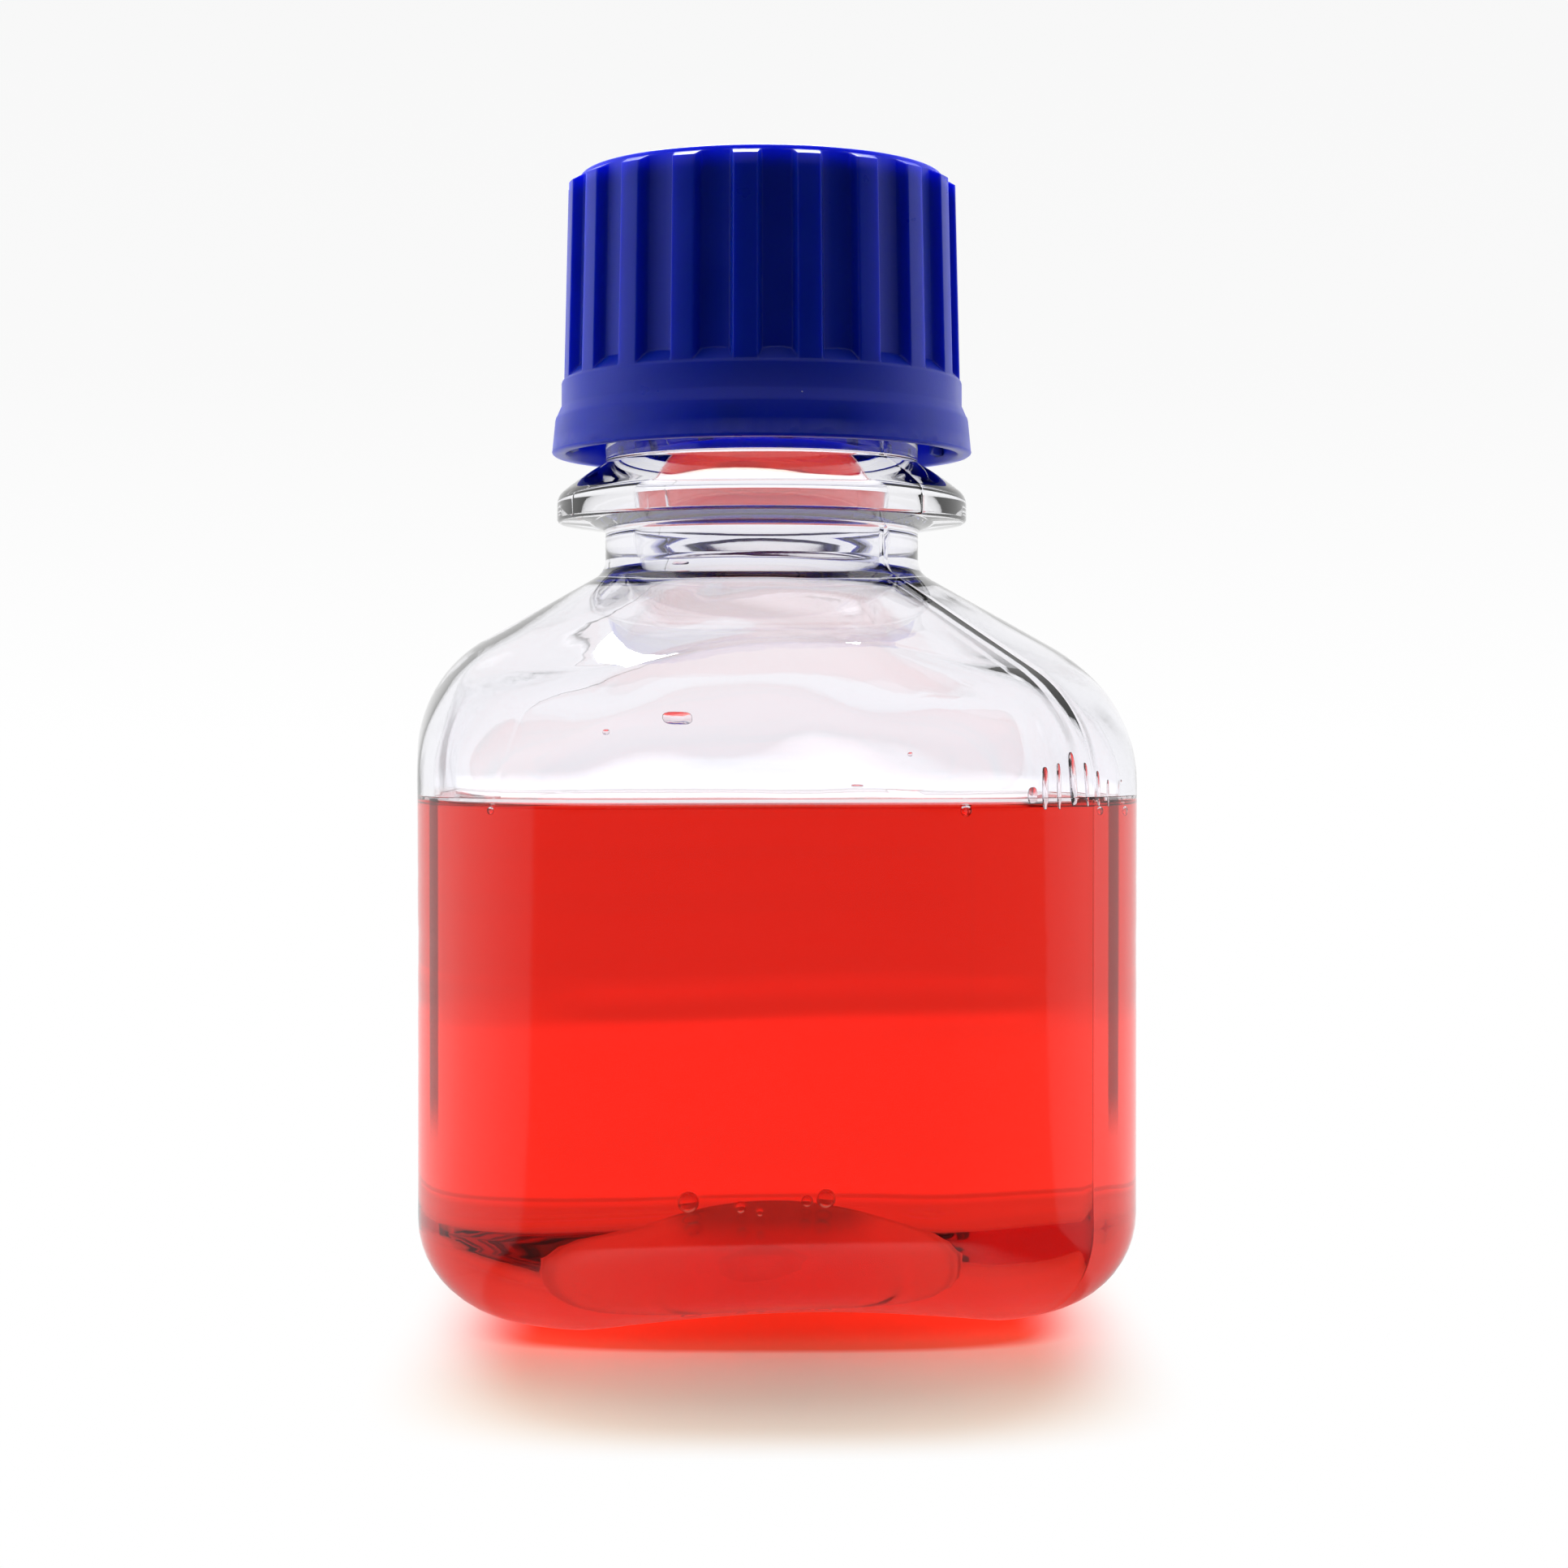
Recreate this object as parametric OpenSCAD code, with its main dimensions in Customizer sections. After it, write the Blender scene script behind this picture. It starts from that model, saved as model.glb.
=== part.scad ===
// Small square laboratory bottle with a ribbed screw cap, part filled with a
// clear red liquid. It stands on the floor of its frame, with +Z up and the
// origin under the middle of the base.

/* [Body] */
// Width of the body across its flat sides
body_w = 56.8; // [50:0.2:70]
// Radius of the upright corners of the body, seen from above
corner_r = 16; // [12:0.5:22]
// Height at which the middle of a flat side ends and the shoulder begins
wall_top_z = 43.4; // [32:0.2:70]
// Thickness of the body's wall
wall_t = 1.3; // [0.8:0.1:2]
// Radius between the upright walls and the base
heel_r = 7.5; // [5:0.5:10]
// Slope of the shoulder from the horizontal, in degrees
shoulder_slope = 29.5; // [22:0.5:36]
// Radius between the upright walls and the shoulder
shoulder_r = 11; // [6:0.5:14]

/* [Base] */
// Radius of the dome pushed up into the base
push_up_r = 18; // [12:0.5:19]
// Height of that dome above the feet
push_up_h = 6; // [3:0.2:8]
// How far the middle of each side's lower edge arches above the feet
foot_arch = 1.6; // [0.4:0.1:2.4]

/* [Neck] */
// Outer diameter of the neck below the collar
neck_d = 25.7; // [24:0.1:30]
// Diameter of the bore through the neck
bore_d = 21.2; // [18:0.1:22]
// Outer diameter of the finish that carries the thread
finish_d = 25; // [24:0.1:25.6]
// Radius between the shoulder and the neck
neck_fillet_r = 1.8; // [1:0.1:4]
// Length of straight neck between the shoulder and the collar
neck_len = 3; // [1.5:0.1:8]
// Height of the mouth above the lower edge of the collar
finish_h = 25.85; // [25.5:0.05:34]

/* [Collar] */
// Outer diameter of the collar
collar_d = 33.86; // [32:0.02:36]
// Height of the upright rim of the collar
collar_rim_h = 1.3; // [0.8:0.1:2]
// Slope of the collar's upper side from the horizontal, in degrees
collar_slope = 37; // [25:1:40]
// Radius between the rim of the collar and its upper side
collar_edge_r = 1.4; // [0.6:0.1:2]
// Radius between the upper side of the collar and the neck
collar_fillet_r = 2; // [1:0.1:3]
// How much lower the collar's underside is at the neck than at its rim
collar_drop = 0.45; // [0.2:0.05:0.8]

/* [Thread] */
// Rise of the thread in one turn
thread_pitch = 4.233; // [4:0.001:4.6]
// Height of the thread's ridge above the wall it stands on
thread_depth = 1.2; // [0.8:0.1:1.3]
// Width of the ridge at its foot
thread_foot_w = 2.4; // [1.8:0.1:2.4]
// Width of the ridge at its crest
thread_crest_w = 1.2; // [0.6:0.1:1.2]
// Turns of thread on the neck
neck_turns = 2; // [1.5:0.25:2]
// Turns of thread in the cap
cap_turns = 1.5; // [1:0.25:1.75]
// Distance from the mouth down to the upper end of the neck's thread
thread_lead_in = 2.4; // [2:0.1:3]
// Gap between a ridge's crest and the wall it faces
thread_clearance = 0.35; // [0.2:0.05:0.4]

/* [Cap] */
// Height of the cap
cap_h = 22.9; // [21.5:0.1:24]
// Diameter over the flared ring at the cap's lower edge
ring_d = 34.7; // [34:0.1:38]
// Thickness of the flared ring
ring_t = 1.15; // [0.8:0.05:1.4]
// Height of the flared ring
ring_h = 3; // [2:0.1:3.2]
// Diameter of the smooth band above the ring
band_d = 33.1; // [32.6:0.1:33.8]
// Height at which the ribs begin
rib_foot_h = 6.1; // [5:0.1:8]
// Diameter over the ribs at their feet
rib_foot_d = 32.8; // [32.2:0.1:33]
// Diameter over the ribs at the top of the cap
rib_top_d = 32; // [31.6:0.1:32.6]
// Depth of the flutes between the ribs, at their feet
flute_depth = 1; // [0.5:0.1:1]
// Thickness of the cap's wall behind the flutes, at the top of the cap
cap_wall_t = 0.95; // [0.7:0.05:1.3]
// Width of a rib
rib_w = 2.2; // [1.4:0.1:3]
// Number of ribs
rib_count = 20; // [12:1:26]
// Where the ribs stand when the cap is tight, in degrees about the axis
rib_turn = 7; // [0:1:30]
// Thickness of the cap's top
top_t = 1.6; // [1:0.1:2]
// Chamfer round the top of the cap
top_chamfer = 0.4; // [0.2:0.05:0.6]
// Number of small lugs inside the flared ring
lug_count = 12; // [6:1:16]
// How far a lug stands out of the ring's inner wall
lug_depth = 0.6; // [0.3:0.05:0.8]

/* [Seal] */
// Thickness of the seal liner
liner_t = 1; // [0.6:0.1:1.6]
// Gap round the edge of the liner in the cap
liner_clearance = 0.15; // [0.1:0.05:0.3]
// Gap above and below the liner
seal_gap = 0.03; // [0.02:0.01:0.05]

/* [Liquid] */
// Distance from the lowest part of the shoulder down to the liquid's surface
fill_drop = 0.7; // [0.2:0.1:24]
// Gap between the liquid and the wall
liquid_gap = 0.15; // [0.1:0.01:0.3]

/* [Hidden] */

round_fn = 96;

// Points round one quarter of the body: on its corner, and along its flat side.
corner_steps = 8;
flat_steps = 4;
ring_points = 4 * (corner_steps + flat_steps);

// Rings up the curved stretches of the body.
dome_steps = 4;
heel_steps = 6;
shoulder_steps = 7;
fillet_steps = 4;

half_w = body_w / 2;
neck_r = neck_d / 2;
bore_r = bore_d / 2;
finish_r = finish_d / 2;

// The shell meets the turned neck with a small ledge and a tongue in its wall.
ledge = 0.1;
tongue_inset = 0.55;
tongue_h = 0.8;
shell_neck_r = neck_r + ledge;
neck_wall_t = shell_neck_r - (bore_r - ledge);

// The shoulder is a cone round the neck, blended into the upright walls. Its
// side view has a normal that tilts from 0 on the wall to shoulder_tilt on the
// cone, and back to 0 on the neck.
shoulder_tilt = 90 - shoulder_slope;
cone_foot_z = wall_top_z
    + shoulder_r * tan(shoulder_tilt / 2)
    + (half_w - shell_neck_r) * tan(shoulder_slope);
neck_z = cone_foot_z + neck_fillet_r * tan(shoulder_tilt / 2);

collar_z = neck_z + neck_len;
collar_r = collar_d / 2;
mouth_z = collar_z + finish_h;

// The flat feet lie where the arch of the base's edge has come down to zero.
arch_cutoff = 0.12;

function lerp(a, b, t) = a + (b - a) * t;

// One quarter's points of a square of half width w with corners of radius r.
function quarter(w, r) = concat(
    [for (k = [0:corner_steps])
        let (a = 90 * k / corner_steps)
        [w - r + r * cos(a), w - r + r * sin(a)]],
    [for (k = [1:flat_steps - 1])
        [(w - r) * (1 - 2 * k / flat_steps), w]]);

function turned(p, a) = [p.x * cos(a) - p.y * sin(a), p.x * sin(a) + p.y * cos(a)];

// Outline of the upright walls, drawn in from the outer surface by inset.
function wall_outline(inset) = [
    for (q = [0:3])
        for (p = quarter(half_w - inset, corner_r - inset)) turned(p, 90 * q)];

body_outline = wall_outline(0);
bearings = [for (p = body_outline) atan2(p.y, p.x)];

function ring_circle(r) = [for (a = bearings) [r * cos(a), r * sin(a)]];

// The cone meets the wall lower down where the wall lies further out.
shoulder_drops = [for (p = body_outline) (norm(p) - half_w) * tan(shoulder_slope)];
shoulder_low_z = wall_top_z - max(shoulder_drops);
liquid_z = shoulder_low_z - fill_drop;

function arch(i) =
    foot_arch * max(0, (0.5 + 0.5 * cos(4 * bearings[i]) - arch_cutoff) / (1 - arch_cutoff));

function lifted(outline, z, arch_share) = [
    for (i = [0:ring_points - 1])
        [outline[i].x, outline[i].y, z + arch_share * arch(i)]];

function dome_z(share) = push_up_h * (1 - share * share);

// Rings of the surface that lies depth e inside the outer one: the dome, the
// foot, the heel, and then the wall up to the neck.
function base_rings(e) = concat(
    [for (k = [1:dome_steps])
        let (share = k / dome_steps)
        lifted(ring_circle(push_up_r * share), dome_z(share) + e, pow(share, 4))],
    [for (k = [0:heel_steps])
        let (
            a = 90 * k / heel_steps,
            inset = heel_r - (heel_r - e) * sin(a),
            z = heel_r - (heel_r - e) * cos(a))
        lifted(wall_outline(inset), z, 1 - sin(a))]);

function shoulder_rings(e) = [
    for (k = [0:shoulder_steps])
        let (
            tilt = shoulder_tilt * k / shoulder_steps,
            wall = wall_outline(e * cos(tilt)),
            inward = ring_circle(shoulder_r * (1 - cos(tilt))),
            z = wall_top_z + (shoulder_r - e) * sin(tilt))
        [for (i = [0:ring_points - 1])
            [wall[i].x - inward[i].x, wall[i].y - inward[i].y, z - shoulder_drops[i]]]];

function fillet_rings(e_foot, e_neck) = [
    for (k = [0:fillet_steps])
        let (
            tilt = shoulder_tilt * (1 - k / fillet_steps),
            e = lerp(e_foot, e_neck, k / fillet_steps),
            r = shell_neck_r + neck_fillet_r * (1 - cos(tilt)) - e * cos(tilt))
        lifted(ring_circle(r), neck_z - (neck_fillet_r + e) * sin(tilt), 0)];

tongue_rings = [
    lifted(ring_circle(neck_r - tongue_inset), neck_z, 0),
    lifted(ring_circle(neck_r - tongue_inset), neck_z + tongue_h, 0),
    lifted(ring_circle(bore_r + tongue_inset), neck_z + tongue_h, 0),
    lifted(ring_circle(bore_r + tongue_inset), neck_z, 0)];

function reversed(list) = [for (i = [len(list) - 1:-1:0]) list[i]];

function flattened(lists) = [for (l = lists) for (x = l) x];

// A closed surface through rings of ring_points points, with a point at each end.
module skin(first_point, rings, last_point) {
    n = ring_points;
    last = len(rings) * n + 1;
    polyhedron(
        points = concat([first_point], flattened(rings), [last_point]),
        faces = concat(
            [for (i = [0:n - 1]) [0, 1 + i, 1 + (i + 1) % n]],
            flattened([
                for (k = [0:len(rings) - 2])
                    for (i = [0:n - 1])
                        let (
                            a = 1 + k * n + i,
                            b = a + n,
                            c = 1 + (k + 1) * n + (i + 1) % n,
                            d = c - n)
                        [[a, b, c], [a, c, d]]]),
            [for (i = [0:n - 1]) [last, last - n + (i + 1) % n, last - n + i]]),
        convexity = 6);
}

// A screw ridge of neck_turns or cap_turns, rising in the thread's hand. It
// stands on a wall of radius foot_r, and its crest points outward or inward.
thread_embed = 0.3;
thread_step = 10;
run_in = 30;
end_height = 0.3;

function ridge_station(a, z, foot_r, out, height) = [
    for (p = [
        [foot_r - out * thread_embed, -thread_foot_w / 2],
        [foot_r + out * thread_depth * height, -thread_crest_w / 2],
        [foot_r + out * thread_depth * height, thread_crest_w / 2],
        [foot_r - out * thread_embed, thread_foot_w / 2]])
        [p.x * cos(a), p.x * sin(a), z + p.y]];

module ridge(foot_r, out, start_angle, turns, start_z) {
    stations = ceil(360 * turns / thread_step);
    sweep = 360 * turns;
    points = flattened([
        for (k = [0:stations])
            let (
                a = sweep * k / stations,
                ramp = min(1, a / run_in, (sweep - a) / run_in))
            ridge_station(
                start_angle + a,
                start_z + thread_pitch * a / 360,
                foot_r,
                out,
                lerp(end_height, 1, ramp))]);
    end = 4 * stations;
    sides = flattened([
        for (k = [0:stations - 1])
            for (j = [0:3])
                let (a = 4 * k + j, b = 4 * k + (j + 1) % 4)
                [[a, a + 4, b + 4], [a, b + 4, b]]]);
    faces = concat([[0, 1, 2], [0, 2, 3]], sides, [[end, end + 2, end + 1], [end, end + 3, end + 2]]);
    polyhedron(
        points = points,
        faces = out > 0 ? [for (f = faces) reversed(f)] : faces,
        convexity = 6);
}

// Thread on the neck, and the cap's thread half a pitch below it.
neck_thread_z = mouth_z - thread_lead_in - thread_pitch * neck_turns;
cap_thread_angle = -90;
cap_thread_z = neck_thread_z + thread_pitch * (cap_thread_angle / 360 - 0.5);

function arc_points(cx, cz, r, from, to, steps) = [
    for (k = [0:steps])
        let (a = lerp(from, to, k / steps))
        [cx + r * cos(a), cz + r * sin(a)]];

// Side view of the collar. The rim's arc, the slope and the fillet are tangent.
collar_tilt = 90 - collar_slope;
collar_edge_z = collar_z + collar_rim_h;
collar_slope_r = collar_r - collar_edge_r * (1 - cos(collar_tilt));
collar_slope_z = collar_edge_z + collar_edge_r * sin(collar_tilt);
collar_fillet_foot_r = neck_r + collar_fillet_r * (1 - cos(collar_tilt));
collar_fillet_z = collar_slope_z
    + (collar_slope_r - collar_fillet_foot_r) * tan(collar_slope)
    + collar_fillet_r * sin(collar_tilt);
rim_bevel = 0.3;
mouth_bevel = 0.4;
arc_steps = 6;

module neck_profile() {
    polygon(concat(
        [
            [bore_r, neck_z - ledge],
            [neck_r, neck_z - ledge],
            [neck_r, collar_z - collar_drop],
            [collar_r - rim_bevel, collar_z],
            [collar_r, collar_z + rim_bevel]],
        arc_points(collar_r - collar_edge_r, collar_edge_z, collar_edge_r, 0, collar_tilt, arc_steps),
        arc_points(neck_r + collar_fillet_r, collar_fillet_z, collar_fillet_r,
            180 + collar_tilt, 180, arc_steps),
        [
            [finish_r, collar_fillet_z + (neck_r - finish_r)],
            [finish_r, mouth_z - mouth_bevel],
            [finish_r - mouth_bevel, mouth_z],
            [bore_r, mouth_z]]));
}

module bottle_shell() {
    skin(
        [0, 0, dome_z(0)],
        concat(
            base_rings(0),
            shoulder_rings(0),
            fillet_rings(0, 0),
            tongue_rings,
            reversed(fillet_rings(wall_t, neck_wall_t)),
            reversed(shoulder_rings(wall_t)),
            reversed(base_rings(wall_t))),
        [0, 0, dome_z(0) + wall_t]);
}

module bottle() {
    color([0.86, 0.87, 0.95, 0.4]) {
        bottle_shell();
        rotate_extrude($fn = round_fn) neck_profile();
        ridge(finish_r, 1, 0, neck_turns, neck_thread_z);
    }
}

module liquid() {
    e = wall_t + liquid_gap;
    color([0.85, 0.08, 0.05, 0.8])
        skin(
            [0, 0, dome_z(0) + e],
            concat(base_rings(e), [lifted(wall_outline(e), liquid_z, 0)]),
            [0, 0, liquid_z]);
}

// The cap closes on the liner, and the liner on the mouth.
liner_z = mouth_z + seal_gap;
cap_top_z = liner_z + liner_t + seal_gap + top_t;
cap_z = cap_top_z - cap_h;
thread_wall_r = finish_r + thread_depth + thread_clearance;
ring_r = ring_d / 2;
ring_inner_r = ring_r - ring_t;
flute_foot_r = rib_foot_d / 2 - flute_depth;
flute_top_r = thread_wall_r + cap_wall_t;
rib_foot_z = cap_z + rib_foot_h;
ring_top_z = cap_z + ring_h;
strip_h = 0.85;
ring_draft = 0.3;
ring_bevel = 0.25;
skirt_slope_h = 2.2;

module seal_liner() {
    color([0.95, 0.95, 0.93])
        translate([0, 0, liner_z])
            cylinder(r = thread_wall_r - liner_clearance, h = liner_t, $fn = round_fn);
}

// Outer side of the cap's lower part, from its edge up to where the ribs begin.
lower_outside = [
    [ring_inner_r, cap_z],
    [ring_r - ring_bevel, cap_z],
    [ring_r, cap_z + ring_bevel],
    [ring_r - ring_draft, ring_top_z],
    [band_d / 2, ring_top_z + strip_h],
    [band_d / 2, rib_foot_z - ring_bevel],
    [rib_foot_d / 2, rib_foot_z]];

inside = [
    [0, cap_top_z - top_t],
    [thread_wall_r, cap_top_z - top_t],
    [thread_wall_r, ring_top_z + skirt_slope_h],
    [ring_inner_r, ring_top_z]];

module shell_profile() {
    polygon(concat(
        lower_outside,
        arc_points(rib_foot_d / 2, rib_foot_z + flute_depth, flute_depth, 270, 180, arc_steps),
        [
            [flute_top_r, cap_top_z - top_chamfer],
            [flute_top_r - top_chamfer, cap_top_z],
            [0, cap_top_z]],
        inside));
}

module rib_envelope() {
    polygon([
        [0, rib_foot_z],
        [rib_foot_d / 2, rib_foot_z],
        [rib_top_d / 2, cap_top_z - top_chamfer],
        [rib_top_d / 2 - top_chamfer, cap_top_z],
        [0, cap_top_z]]);
}

module ribs() {
    rib_root_r = thread_wall_r + cap_wall_t / 2;
    intersection() {
        rotate_extrude($fn = round_fn) rib_envelope();
        for (k = [0:rib_count - 1])
            rotate([0, 0, rib_turn + 360 * k / rib_count])
                translate([rib_root_r, -rib_w / 2, rib_foot_z])
                    cube([ring_r - rib_root_r, rib_w, cap_top_z - rib_foot_z]);
    }
}

module lugs() {
    lug_w = 1.6;
    lug_h = 1.8;
    lug_rise = 0.6;
    lug_embed = 0.5;
    for (k = [0:lug_count - 1])
        rotate([0, 0, 360 * (k + 0.5) / lug_count])
            translate([ring_inner_r - lug_depth, -lug_w / 2, cap_z + lug_rise])
                cube([lug_depth + lug_embed, lug_w, lug_h]);
}

module screw_cap() {
    color([0.03, 0.06, 0.62]) {
        rotate_extrude($fn = round_fn) shell_profile();
        ribs();
        lugs();
        ridge(thread_wall_r, -1, cap_thread_angle, cap_turns, cap_thread_z);
    }
}

bottle();
liquid();
seal_liner();
screw_cap();
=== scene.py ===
import math

import bpy
import numpy as np
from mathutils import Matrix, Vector, noise
from mathutils.bvhtree import BVHTree


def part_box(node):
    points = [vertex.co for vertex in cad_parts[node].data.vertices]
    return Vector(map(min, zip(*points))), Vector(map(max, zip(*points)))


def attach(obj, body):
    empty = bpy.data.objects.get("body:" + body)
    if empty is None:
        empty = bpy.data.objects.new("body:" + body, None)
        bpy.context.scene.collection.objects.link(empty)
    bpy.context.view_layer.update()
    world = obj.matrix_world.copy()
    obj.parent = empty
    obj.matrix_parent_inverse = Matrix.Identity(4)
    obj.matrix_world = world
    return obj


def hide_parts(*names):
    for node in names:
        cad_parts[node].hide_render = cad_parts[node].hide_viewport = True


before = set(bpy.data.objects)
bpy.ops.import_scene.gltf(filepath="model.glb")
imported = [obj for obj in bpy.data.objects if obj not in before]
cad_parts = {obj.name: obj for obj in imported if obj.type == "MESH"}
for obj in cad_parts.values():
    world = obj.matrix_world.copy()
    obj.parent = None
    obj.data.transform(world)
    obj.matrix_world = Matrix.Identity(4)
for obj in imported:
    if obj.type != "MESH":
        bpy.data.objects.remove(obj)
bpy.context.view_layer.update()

# A small square laboratory bottle of clear polyester with a blue ribbed screw
# cap, part filled with a clear red liquid. All lengths are in metres.

MM = 0.001

# -------------------------------------------------------------------- camera

YAW = 0.12
PITCH = -0.0148
LENS = 69.0
SENSOR_W = 36.0
PHOTO_W = 1932
MIDDLE = PHOTO_W / 2
FOCAL = PHOTO_W * LENS / SENSOR_W  # in pixels of the photograph
CAMERA_PLACE = (-28.05 * MM, -248.03 * MM, 44.75 * MM)
ACROSS = Vector((math.cos(YAW), -math.sin(YAW), 0))
FORWARD = Vector((math.sin(YAW) * math.cos(PITCH), math.cos(YAW) * math.cos(PITCH), math.sin(PITCH)))


def photo_ray(px, py):
    """Direction from the camera through a pixel of the photograph."""
    up = ACROSS.cross(FORWARD)
    return (FORWARD + ACROSS * (px - MIDDLE) / FOCAL - up * (py - MIDDLE) / FOCAL).normalized()


def make_camera():
    data = bpy.data.cameras.new("camera")
    data.lens = LENS
    data.sensor_width = SENSOR_W
    data.clip_start = 0.01
    data.clip_end = 20
    camera = bpy.data.objects.new("camera", data)
    camera.location = CAMERA_PLACE
    camera.rotation_mode = "QUATERNION"
    camera.rotation_quaternion = FORWARD.to_track_quat("-Z", "Y")
    bpy.context.scene.collection.objects.link(camera)
    bpy.context.scene.camera = camera


# ---------------------------------------------------------------- body sizes

bottle_low, bottle_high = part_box("bottle")
HALF_W = (bottle_high.x - bottle_low.x) / 2
MOUTH_Z = bottle_high.z
LIQUID_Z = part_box("liquid")[1].z
LEVEL_Z = LIQUID_Z - 0.25 * MM
MENISCUS_H = 0.85 * MM
CONTACT_Z = LEVEL_Z + MENISCUS_H  # the line on the wall up to which the liquid wets it

CORNER_R = 16 * MM
WALL_TOP_Z = 43.4 * MM
WALL_T = 1.3 * MM
HEEL_R = 7.5 * MM
SHOULDER_SLOPE = math.radians(29.5)
SHOULDER_R = 11 * MM
PUSH_UP_R = 18 * MM
PUSH_UP_H = 6 * MM
FOOT_ARCH = 1.6 * MM
ARCH_CUTOFF = 0.12

NECK_R = 12.95 * MM
BORE_R = 10.6 * MM
FINISH_R = 12.5 * MM
NECK_FILLET_R = 1.8 * MM
FINISH_H = 25.85 * MM
COLLAR_Z = MOUTH_Z - FINISH_H

COLLAR_R = 16.93 * MM
COLLAR_RIM_H = 1.5 * MM
COLLAR_EDGE_R = 1.4 * MM
COLLAR_LOW_SLOPE, COLLAR_HIGH_SLOPE = 39, 29  # degrees: its upper side is slightly domed
COLLAR_DOME_STEPS = 10
COLLAR_FILLET_R = 0.3 * MM
FINISH_STEP_Z = COLLAR_Z + 7.4 * MM
COLLAR_DROP = 0.45 * MM
RIM_BEVEL = 0.3 * MM

THREAD_PITCH = 4.233 * MM
THREAD_DEPTH = 1.2 * MM
THREAD_FOOT_W = 2.4 * MM
THREAD_CREST_W = 1.2 * MM
THREAD_RUN_IN = math.radians(30)
NECK_TURNS = 2
CAP_TURNS = 1.5
THREAD_LEAD_IN = 2.4 * MM
THREAD_CLEARANCE = 0.35 * MM

# The parting line of the two mould halves runs up two opposite corners.
SEAM_QUARTERS = (1, 3)
SEAM_STEP = 7
SEAM_OFFSETS = [x * MM for x in (-0.2, -0.13, -0.06, 0, 0.06, 0.13, 0.2)]
SEAM_SHARES = (0, 0.4, 0.9, 1, 0.9, 0.4, 0)
SEAM_H, SEAM_NECK_H = 0.02 * MM, 0.06 * MM

# ----------------------------------------------------------------- cap sizes

cap_low, cap_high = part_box("screw_cap")
CAP_Z = cap_low.z
CAP_TOP_Z = cap_high.z
RING_R = cap_high.x
RING_T = 1.15 * MM
RING_TOP_Z = CAP_Z + 3 * MM
RING_DRAFT = 0.3 * MM
RING_SLOPE_H = 0.85 * MM  # the slope from the ring up to the smooth band
BAND_R = 16.55 * MM
RIB_FOOT_Z = CAP_Z + 6.1 * MM
RIB_FOOT_R = 16.4 * MM
RIB_TOP_R = 16 * MM
FLUTE_DEPTH = 1 * MM
RIB_COUNT = 20
RIB_TURN = math.radians(7)
TOP_T = 1.6 * MM
RIM_R = 15.0 * MM
RIM_H = 0.3 * MM  # a narrow upright rim stands over the sloping tops of the ribs
RIM_ROUND = 0.1 * MM
# Painted light: the blue is brighter near the top, as if lit through the plastic from above.
PAINTED_TOP_LIGHT_H = 2.6 * MM  # near the top the plastic looks brighter
RIB_SLOPE_H = 0.52 * MM
LUG_COUNT = 12
THREAD_WALL_R = FINISH_R + THREAD_DEPTH + THREAD_CLEARANCE


# ------------------------------------------------------------- mesh builders

def lerp(a, b, t):
    return a + (b - a) * t


def smooth(low, high, x):
    """0 below low, 1 above high, and a smooth step between them."""
    t = np.clip((x - low) / (high - low), 0, 1)
    return t * t * (3 - 2 * t)


def arc(cx, cz, r, start, end, steps):
    """Points (r, z) on an arc, from one angle to another in degrees."""
    angles = [math.radians(lerp(start, end, k / steps)) for k in range(steps + 1)]
    return [(cx + r * math.cos(a), cz + r * math.sin(a)) for a in angles]


def new_object(name, vertices, faces, material):
    mesh = bpy.data.meshes.new(name)
    mesh.from_pydata([tuple(v) for v in vertices], [], faces)
    mesh.shade_smooth()
    mesh.materials.append(material)
    piece = bpy.data.objects.new(name, mesh)
    bpy.context.scene.collection.objects.link(piece)
    return piece


def skin(rings, first=None, last=None):
    """Vertices and faces of a surface through rings of points, with a point at either end or none."""
    n = len(rings[0])
    vertices = [p for ring in rings for p in ring]
    faces = []
    for k in range(len(rings) - 1):
        for i in range(n):
            a = k * n + i
            b = k * n + (i + 1) % n
            faces.append((a, b, b + n, a + n))
    if first is not None:
        vertices.append(first)
        faces += [(len(vertices) - 1, (i + 1) % n, i) for i in range(n)]
    if last is not None:
        vertices.append(last)
        top = (len(rings) - 1) * n
        faces += [(len(vertices) - 1, top + i, top + (i + 1) % n) for i in range(n)]
    return vertices, faces


# -------------------------------------------------------- bottle: plan views

CORNER_STEPS = 16
FLAT_STEPS = 14


def columns():
    """Each point round the body: quarter, corner angle or None, share of a flat side, and
    its offset from the seam and share of the seam's height."""
    found = []
    for quarter in range(4):
        for k in range(CORNER_STEPS + 1):
            angle = math.pi / 2 * k / CORNER_STEPS
            if quarter in SEAM_QUARTERS and k == SEAM_STEP:
                for offset, height in zip(SEAM_OFFSETS, SEAM_SHARES):
                    found.append((quarter, angle, 0, offset, height))
            else:
                found.append((quarter, angle, 0, 0, 0))
        for k in range(1, FLAT_STEPS):
            found.append((quarter, None, k / FLAT_STEPS, 0, 0))
    return found


COLUMNS = columns()


def outline(inset):
    """Plan view of the upright walls, drawn in from the outer surface by inset."""
    points = []
    centre = HALF_W - CORNER_R
    r = CORNER_R - inset
    for quarter, angle, share, offset, height in COLUMNS:
        if angle is None:
            x, y = centre * (1 - 2 * share), HALF_W - inset
        else:
            a = angle + offset / r
            x, y = centre + r * math.cos(a), centre + r * math.sin(a)
        turn = quarter * math.pi / 2
        c, s = math.cos(turn), math.sin(turn)
        points.append((x * c - y * s, x * s + y * c))
    return np.array(points)


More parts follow.
